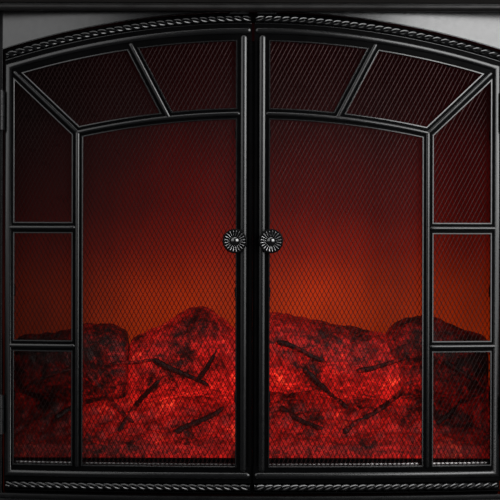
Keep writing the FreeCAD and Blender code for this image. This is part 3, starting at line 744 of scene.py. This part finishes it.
DIAMOND_WIDTH = 5.55
DIAMOND_HEIGHT = 10.55
STRAND_WIDTH = 0.62
STRAND_THICK = 0.38
MESH_TWIST = {"left": (26, 20), "right": (12, 24)}     # degrees, of the strands each way
MESH_DEPTH = BACK - 0.55
MESH_TUCK = 4.5             # how far the mesh runs on behind its frame


def mesh_sheet(side):
    """Expanded metal: diamonds whose strands are twisted a little, as slit steel is."""
    x0, x1 = MEETING_EDGE - MESH_TUCK, HINGE_EDGE + MESH_TUCK
    z0 = RAIL_TOP - MESH_TUCK
    reach = float(ARCH_LOW(0)) + MESH_TUCK
    half_w, half_h = DIAMOND_WIDTH / 2, DIAMOND_HEIGHT / 2
    columns, rows = int((x1 - x0) / half_w), int((reach - z0) / half_h)
    i, j = (grid.ravel() for grid in np.meshgrid(np.arange(columns), np.arange(rows), indexing="ij"))
    rising = (i + j) % 2 == 0
    start = np.stack([x0 + i * half_w, z0 + (j + ~rising) * half_h], 1)
    end = np.stack([x0 + (i + 1) * half_w, z0 + (j + rising) * half_h], 1)
    roof = arc(LIP_R + MESH_TUCK, ARCH_Z)((start[:, 0] + end[:, 0]) / 2)
    inside = np.maximum(start[:, 1], end[:, 1]) < roof
    start, end, rising = start[inside], end[inside], rising[inside]
    way = (end - start) / np.linalg.norm(end - start, axis=1, keepdims=True)
    beside = np.stack([-way[:, 1], way[:, 0]], 1)
    twist = np.where(rising, *np.radians(MESH_TWIST[side]))[:, None]
    corners = []
    for across, out in ((1, 1), (1, -1), (-1, -1), (-1, 1)):
        wide = across * STRAND_WIDTH / 2 * np.cos(twist) - out * STRAND_THICK / 2 * np.sin(twist)
        deep = across * STRAND_WIDTH / 2 * np.sin(twist) + out * STRAND_THICK / 2 * np.cos(twist)
        for spot in (start, end):
            corners.append(np.concatenate([spot + beside * wide, MESH_DEPTH + deep], 1))
    points = np.stack(corners, 1)
    count = len(points)
    faces = []
    for edge in range(4):
        a, b = 2 * edge, 2 * ((edge + 1) % 4)
        faces.append(np.stack([np.arange(count) * 8 + spot for spot in (a, a + 1, b + 1, b)], 1))
    return points.reshape(-1, 3), [tuple(face) for face in np.concatenate(faces).tolist()]


def mesh_retainer():
    """A thin steel strip behind the foot of the mesh, seen through it as a row of bright dots."""
    z, deep = RAIL_TOP + 2.2, MESH_DEPTH - 0.7
    outline = ((-1.6, -0.8), (-1.6, 0), (0, 0), (0.30, -0.15), (0.35, -0.4), (0.2, -0.8))
    profile = [(level(z + up), deep + out) for up, out in outline]
    return strip(profile, MEETING_EDGE - 3, HINGE_EDGE + 3)


KNOB_R = 15.1
PETALS = 20
PETAL_START, PETAL_LENGTH = 5.6, 7.9        # along the knob's radius
PETAL_STEPS = 15
PETAL_FACETS = 9


def turned(profile, around=96):
    """A round piece about the knob's axis. The profile is (radius, height), from face to back."""
    return loft([[(KNOB_X + r * math.cos(turn), KNOB_Z + r * math.sin(turn), height)
                  for turn in circle(around)] for r, height in profile])


def knob_dome():
    """The domed cap in the middle of the knob."""
    cap = [(7.4 * math.sin(turn), 4.5 + 7.4 * math.cos(turn)) for turn in np.linspace(0.03, 0.68, 10)]
    return turned(cap + [(4.7, 8.8)])


def knob_body():
    """A dished disc on a neck and a boss."""
    dish = [(0.2, 9.1), (9.0, 9.1), (13.2, 9.5), (14.3, 9.5), (14.9, 9.1), (KNOB_R, 8.5), (14.8, 8.0)]
    stem = [(12.5, 7.0), (7.0, 6.2), (5.6, 5.0), (5.5, 2.2), (6.4, 1.3), (8.4, 1.0), (9.0, 0.4), (9.0, BACK)]
    return turned(dish + stem)


def knob_petals():
    """Thin raised petals, widest near the rim, where their round ends catch the light."""
    parts = []
    for number in range(PETALS):
        turn = 2 * math.pi * (number + 0.5) / PETALS
        way = np.array([math.cos(turn), math.sin(turn)])
        side = np.array([-way[1], way[0]])
        rings = []
        for t in np.linspace(0, 1, PETAL_STEPS):
            r = PETAL_START + PETAL_LENGTH * t
            end = math.sqrt(max(0.01, 1 - (2 * t - 1) ** 8))
            half, proud = (0.28 + 0.82 * t ** 1.5) * end, (0.7 + 1.7 * t ** 1.5) * end
            base = 9.0 + 0.5 * max(0.0, (r - 9) / 5)
            ring = [(half * math.cos(bend), base + proud * math.sin(bend))
                    for bend in np.linspace(0, math.pi, PETAL_FACETS)]
            ring += [(-half, base - 0.5), (half, base - 0.5)]
            middle = np.array([KNOB_X, KNOB_Z]) + way * r
            rings.append([(*(middle + side * across), height) for across, height in ring])
        parts.append(loft(rings))
    return joined(parts)


def build_door(side, hand):
    """Every piece of one door."""
    def fit(name, slot, shape, **options):
        add_piece(f"{side}_{name}", side + "_door", slot, placed(shape, hand), **options)

    for name, shape in lattice_members().items():
        fit(name + "_cast", "black_enamel", shape, stands_for=[f"{side}_{name}"])
    for name, shape in lattice_beads().items():
        fit(name, "black_enamel", shape, sharp=60, look="raised_line")
    for number, outline in enumerate(window_outlines(), 1):
        lip = loft(sweep_rings(outline, LIP_PROFILE, looped=True), looped=True)
        fit(f"window_lip_{number}", "black_enamel", lip, sharp=30, look="header_enamel")
    for name, shape in rope_runs().items():
        fit(name + "_twist", "rope_trim", shape, sharp=60, stands_for=[f"{side}_{name}"])
    fit("rope_line", "rope_trim", rope_line(), sharp=60, look="raised_line")
    # The mesh's pinkish grey is painted glow on black steel.
    fit("mesh_lattice", "mesh_steel", mesh_sheet(side), sharp=30, stands_for=[f"{side}_mesh"])
    fit("mesh_retainer", "bright_steel", mesh_retainer(), sharp=30, look="retainer_steel")
    fit("knob_body", "knob_iron", knob_body(), sharp=30, stands_for=[f"{side}_knob"], look="knob_ground")
    fit("knob_dome", "knob_iron", knob_dome(), sharp=50)
    # Pale petals: a painted highlight on the knob's black iron.
    fit("knob_petals", "knob_iron", knob_petals(), sharp=60, look="petal_iron")


# ---- Case ----

HEADER_GAP = 2.5            # between the doors and the header
CORNICE_DEEP = 8.9


def header_plate():
    """The arched plate over the doors, with a rolled lower edge."""
    _, high = box_mm("header")
    radius = EDGE_R + HEADER_GAP
    edge = ((0, BACK), (0, 0.1), (0.5, 0.5), (1.1, 0.4), (1.5, 0))
    profile = [(arc(radius + out, ARCH_Z), depth) for out, depth in edge]
    profile += [(level(high.z), 0), (level(high.z), BACK)]
    add_piece("header_plate", "frame", "black_enamel", placed(strip(profile, -high.x, high.x), 1),
              stands_for=["header"], look="header_enamel")


def cornice():
    """The moulding under the top plate: a cove, a rounded face and a shadow groove, mitred at the front."""
    low, high = box_mm("top_moulding")
    face = ((-CORNICE_DEEP, 0), (-3.6, 0), (-2.6, 0.5), (-1.9, 1.6), (-0.9, 2.4), (-0.2, 3.2),
            (0, 4.4), (0, 6.4), (-0.2, 7.0), (-0.7, 7.4), (-2.6, 7.6))
    profile = [(-out, low.z + up) for out, up in face]
    profile += [(2.6, high.z), (CORNICE_DEEP, high.z)]
    corners = [(low.x, high.y), (low.x, low.y), (high.x, low.y), (high.x, high.y)]
    add_piece("cornice", "frame", "top_lacquer", loft(sweep_rings(corners, profile)),
              stands_for=["top_moulding"], look="cornice_lacquer")


def soften(node, width, material):
    """Rounds the edges of a CAD node with modifiers and paints it."""
    piece = nodes[node]
    weld = piece.modifiers.new("weld", "WELD")
    weld.merge_threshold = 0.00001
    bevel = piece.modifiers.new("round", "BEVEL")
    bevel.width = width * MM
    bevel.segments = 3
    bevel.limit_method = "ANGLE"
    bevel.angle_limit = math.radians(35)
    paint(node, material)


def paint(node, material):
    for spot in nodes[node].material_slots:
        spot.material = MATERIALS[material]


PAINTED = {
    "case_sheet": ("left_side_panel", "right_side_panel", "back_panel"),
    "black_enamel": ("ember_tray", "left_mesh_clips", "right_mesh_clips"),
    "hinge_iron": ("jamb_hinge_leaves", "hinge_pins", "left_hinge_leaves", "right_hinge_leaves"),
    "bright_steel": ("case_screws", "left_knob_screw", "right_knob_screw", "left_catch_plate",
                     "right_catch_plate"),
    "catch_plastic": ("magnet_catches",),
    "glow_film": ("glow_panel",),
    "lamp_white": ("lamp_bar",),
}


def case():
    """The case: two new pieces, and CAD nodes softened and painted."""
    header_plate()
    cornice()
    for node, width in (("left_jamb", 0.9), ("right_jamb", 0.9), ("sill_plate", 1.2), ("plinth_fascia", 0.6),
                        ("base_plate", 0.5)):
        soften(node, width, "case_enamel")
    soften("top_plate", 1.8, "top_lacquer")
    soften("foot_pads", 0.8, "foot_rubber")
    soften("power_inlet", 0.5, "catch_plastic")
    for material, painted in PAINTED.items():
        for node in painted:
            paint(node, material)


# ---- Ember insert ----

BED_BAND = 17.6             # height of the flat band along the front of the bed
BED_BEND_OUT = 34.0         # where its slope grows steeper: how far behind its front,
BED_BEND_UP = 40.0          # and how high
BED_COLUMNS = 240


def craggy(x, y, z, size):
    """Fractal noise with features about as large as size."""
    return noise.fractal(Vector((x, y, z)) / size, 0.9, 2.1, 4)


def coals(x, y, z, size):
    """1 in the middle of a coal, 0 in the cracks between coals."""
    near = noise.voronoi(Vector((x, y, z)) / size)[0]
    return min(1.0, (near[1] - near[0]) * 2.2)


def bed_slope():
    """The section of the bed from front to back: a flat band, then a slope that grows steeper."""
    low, high = box_mm("ember_bed")
    band, bend_y, bend_z = low.z + BED_BAND, low.y + BED_BEND_OUT, low.z + BED_BEND_UP
    start = low.y + 2
    slope = [(low.y, low.z + 1), (low.y, band - 2), (start, band)]
    slope += [(start + (bend_y - start) * t, band + (bend_z - band) * t)
              for t in np.linspace(0, 1, 12)[1:]]
    slope += [(bend_y + (high.y - bend_y) * t, bend_z + (high.z - bend_z) * t)
              for t in np.linspace(0, 1, 26)[1:]]
    return slope


def ember_bed():
    """The moulded bed: coals heaped on its slope, and none at its edges."""
    low, high = box_mm("ember_bed")
    slope = bed_slope()
    rings = []
    for x in np.linspace(low.x, high.x, BED_COLUMNS):
        ring = []
        for y, z in slope:
            above_band = min(1.0, max(0.0, (z - low.z - BED_BAND) / 10))
            free = above_band * min(1.0, (high.y - y) / 5) * min(1.0, (high.x - abs(x)) / 4)
            lump = 7.0 * coals(x, y, z, 22.0) + 5.0 * craggy(x, y, z, 34.0) - 3.0
            grit = 0.5 * craggy(x, y, z, 9.0) * (z > low.z + 2)
            ring.append((x, y - free * lump * 0.7, z + free * lump * 0.75 + grit))
        ring += [(x, high.y, low.z + 1), (x, (low.y + high.y) / 2, low.z + 1)]
        rings.append(ring)
    add_piece("ember_bed_cast", "frame", "ember_resin", loft(rings), sharp=80, stands_for=["ember_bed"])


LOG_Y = 80.0
LOG_FLAT = 0.97             # how much shallower than high a log is
LOG_STEPS = 80              # rings along a log, and points round it
BRANCH_STEPS = 30
BRANCH_FACETS = 18
BRANCH_SMOOTH = 9           # rings over which it evens out the face under it
# How far each log runs on past its left and right CAD ends, the height and radius at each end, the place and
# height of its hump, and how far it falls away at its right end.
LOGS = {
    "far_left_log": ((9, -3), (194, 41), (190, 44), (0.75, 16), 0),
    "left_log": ((9, 26), (188, 44), (214, 52), (0.62, 18), 22),
    "right_log": ((12, 16), (214, 52), (190, 44), (0.12, 3), 0),
    "far_right_log": ((18, 9), (194, 42), (196, 44), (0.34, 23), 0),
}


def log_ends(node):
    """Where a log starts and ends."""
    low, high = box_mm(node)
    (before, after), *_ = LOGS[node]
    return low.x - before, high.x + after


def log_core(node, x):
    """Share along a log at x, and the height and radius of its core there."""
    x0, x1 = log_ends(node)
    _, left, right, _, fall = LOGS[node]
    t = (x - x0) / (x1 - x0)
    drop = min(1.0, max(0.0, (t - 0.62) / 0.38))
    return (t, left[0] + (right[0] - left[0]) * t - fall * drop ** 2 * (3 - 2 * drop),
            left[1] + (right[1] - left[1]) * t)


def cast_log(node):
    """A log laid across the bed: split and lumpy, falling away gently towards both ends."""
    hump, rise = LOGS[node][3]
    rings = []
    for x in np.linspace(*log_ends(node), LOG_STEPS):
        t, z, radius = log_core(node, x)
        swell = rise * math.exp(-((t - hump) / 0.31) ** 2)
        out = max(0.0, (abs(t - 0.5) - 0.30) / 0.20)
        end = (1 - 0.16 * out ** 2) * math.sqrt(max(0.0, 1 - max(0.0, (out - 0.82) / 0.18) ** 2) + 0.02)
        ring = []
        for turn in circle(LOG_STEPS):
            y, up = math.cos(turn), math.sin(turn)
            ridge = 1.6 * craggy(x * 0.35, 40 * y, 40 * up, 10.0) + 2.4 * coals(x, 50 * y, 50 * up, 26.0)
            lump = 3.0 * craggy(x, 40 * y, 40 * up, 45.0)
            reach = (radius + swell * max(0.0, up) + ridge + lump - 3.0) * end
            ring.append((x, LOG_Y + reach * y * LOG_FLAT, z + reach * up))
        rings.append(ring)
    # The far logs take the same resin with painted shade: a dimmer glow.
    add_piece(node + "_cast", "frame", "log_resin", loft(rings), sharp=80, stands_for=[node],
              look="cool_log_resin" if node.startswith("far") else None)


# Small branches over the embers: x and height of each end, and radius.
BRANCHES = (
    ((-212, 184), (-150, 122), 4.0),
    ((-172, 112), (-118, 176), 3.7),
    ((-252, 126), (-188, 156), 3.4),
    ((-96, 108), (-36, 142), 4.0),
    ((-124, 206), (-52, 168), 3.7),
    ((-70, 176), (-34, 232), 3.1),
    ((-180, 196), (-122, 206), 2.8),
    ((34, 142), (92, 112), 4.0),
    ((64, 196), (122, 138), 4.0),
    ((118, 108), (178, 150), 3.7),
    ((206, 178), (150, 128), 3.4),
    ((236, 122), (290, 158), 3.7),
    ((30, 226), (96, 204), 3.4),
    ((130, 190), (196, 206), 3.1),
    ((-290, 168), (-232, 190), 3.4),
    ((228, 212), (286, 176), 3.4),
)


def surface_y(x, z):
    """Where the face of the bed, or of a log before it, is at a place."""
    low, high = box_mm("ember_bed")
    bend_y, bend_z = low.y + BED_BEND_OUT, low.z + BED_BEND_UP
    if z < bend_z:
        face = low.y + (z - low.z - BED_BAND) / (BED_BEND_UP - BED_BAND) * BED_BEND_OUT
    else:
        face = bend_y + (z - bend_z) / (high.z - bend_z) * (high.y - bend_y)
    for node in LOGS:
        t, middle, radius = log_core(node, x)
        if 0 < t < 1 and abs(z - middle) < radius:
            face = min(face, LOG_Y - math.sqrt(radius ** 2 - (z - middle) ** 2) * LOG_FLAT)
    return face


def branch_path(number, start, end, radius):
    """The way of a branch over the face of the embers, waved a little and evened out."""
    (x0, z0), (x1, z1) = start, end
    path = []
    for t in np.linspace(0, 1, BRANCH_STEPS):
        x = x0 + (x1 - x0) * t + 2.5 * math.sin(5 * t + number)
        z = z0 + (z1 - z0) * t + 2.0 * math.sin(4 * t + 2 * number)
        path.append((x, surface_y(x, z), z))
    path = np.array(path)
    padded = np.pad(path[:, 1], BRANCH_SMOOTH // 2, mode="edge")
    evened = np.convolve(padded, np.ones(BRANCH_SMOOTH) / BRANCH_SMOOTH, mode="valid")
    path[:, 1] = evened - radius * 0.35
    return path


def branch(path, radius):
    """A tapered branch with rough bark and rounded ends."""
    rings = []
    for t, middle, ahead in zip(np.linspace(0, 1, BRANCH_STEPS), path, np.gradient(path, axis=0)):
        way = Vector(ahead).normalized()
        side = way.cross(Vector((0, 1, 0))).normalized()
        out = way.cross(side)
        middle = Vector(middle)
        end = math.sqrt(max(0.02, 1 - max(0.0, (abs(t - 0.5) - 0.42) / 0.08) ** 2)) * (1.1 - 0.35 * t)
        ring = []
        for turn in circle(BRANCH_FACETS):
            arm = (side * math.cos(turn) + out * math.sin(turn)) * radius
            bark = 1 + 0.25 * craggy(*(middle + arm), 8.0)
            ring.append(tuple(middle + arm * bark * end))
        rings.append(ring)
    return loft(rings)


def ember_insert():
    ember_bed()
    for node in LOGS:
        cast_log(node)
    for number, (start, end, radius) in enumerate(BRANCHES, 1):
        shape = branch(branch_path(number, start, end, radius), radius)
        add_piece(f"ember_branch_{number}", "frame", "log_resin", shape, sharp=80, look="branch_resin")


# ---- Studio ----

def floor():
    """A pale round floor under the object."""
    radius, sides = 2.2, 96
    mesh = bpy.data.meshes.new("studio_floor")
    rim = [(radius * math.cos(turn), radius * math.sin(turn), 0) for turn in circle(sides)]
    mesh.from_pydata(rim, [], [tuple(range(sides))])
    made, tree, shader = new_material("studio_floor", (0.62, 0.61, 0.60), 0.7, specular=0.2)
    uneven_gloss(tree, shader, noise_of(tree, 3.0), 0.66, 0.76)
    mesh.materials.append(made)
    ground = bpy.data.objects.new("studio_floor", mesh)
    ground.visible_glossy = False   # the photograph's enamel mirrors a dark floor
    bpy.context.scene.collection.objects.link(ground)


def soft_box(name, place, target, width, height, power):
    """A rectangular light aimed at a target, in metres and watts."""
    light = bpy.data.lights.new(name, "AREA")
    light.shape = "RECTANGLE"
    light.size = width
    light.size_y = height
    light.energy = power
    box = bpy.data.objects.new(name, light)
    box.location = place
    box.rotation_euler = (Vector(target) - Vector(place)).to_track_quat("-Z", "Y").to_euler()
    bpy.context.scene.collection.objects.link(box)


def studio_air():
    """A pale room that gives the object only a little light of its own."""
    world = bpy.data.worlds.new("studio")
    bpy.context.scene.world = world
    world.use_nodes = True
    tree = world.node_tree
    dim = tree.nodes["Background"]
    set_inputs(dim, {"Color": (0.9, 0.93, 1.0, 1), "Strength": 0.05})
    seen = tree.nodes.new("ShaderNodeBackground")
    set_inputs(seen, {"Color": (0.8, 0.8, 0.8, 1), "Strength": 0.8})
    path = tree.nodes.new("ShaderNodeLightPath")
    mix = tree.nodes.new("ShaderNodeMixShader")
    tree.links.new(path.outputs["Is Camera Ray"], mix.inputs["Fac"])
    tree.links.new(dim.outputs["Background"], mix.inputs[1])
    tree.links.new(seen.outputs["Background"], mix.inputs[2])
    tree.links.new(mix.outputs["Shader"], tree.nodes["World Output"].inputs["Surface"])


def camera():
    """The close view from the front. A small shift stands in for the off-centre viewpoint."""
    lens = bpy.data.cameras.new("camera")
    lens.sensor_width = 36.0
    lens.lens = 152.06
    lens.shift_x = 0.0592
    lens.shift_y = -0.0582
    lens.clip_end = 50.0
    eye = bpy.data.objects.new("camera", lens)
    eye.location = (-0.040, -2.64, 0.380)
    eye.rotation_euler = (math.radians(90), math.radians(-0.14), 0)
    bpy.context.scene.collection.objects.link(eye)
    bpy.context.scene.camera = eye


def studio():
    floor()
    studio_air()
    soft_box("right_box", (1.57, -1.54, 1.31), (0.07, 0.07, 1.31), 2.0, 1.38, 62)
    soft_box("left_box", (-1.64, -1.47, 1.31), (0, 0, 1.31), 2.4, 1.38, 16)
    soft_box("right_middle_box", (1.57, -1.54, 0.43), (0.07, 0.07, 0.43), 2.0, 0.38, 5.5)
    soft_box("left_middle_box", (-1.64, -1.47, 0.43), (0, 0, 0.43), 2.4, 0.38, 1.1)
    soft_box("right_low_box", (1.57, -1.54, 0.12), (0.07, 0.07, 0.12), 2.0, 0.22, 3.0)
    soft_box("left_low_box", (-1.64, -1.47, 0.12), (0, 0, 0.12), 2.4, 0.22, 0.3)
    soft_box("left_high_box", (-1.5, -1.35, 2.5), (0, 0, 0.4), 2.0, 0.8, 9)
    soft_box("back_right_box", (1.7, 2.3, 1.1), (0, 0, 0.4), 1.6, 1.2, 30)
    soft_box("back_left_box", (-2.2, 1.6, 0.9), (0, 0, 0.35), 1.6, 1.2, 16)
    soft_box("top_box", (0.2, -0.7, 2.2), (0, 0, 0.38), 1.6, 0.7, 9)
    camera()
    bpy.context.scene.view_settings.view_transform = "Standard"


build_door("right", 1)
build_door("left", -1)
case()
ember_insert()
studio()

bpy.context.view_layer.update()
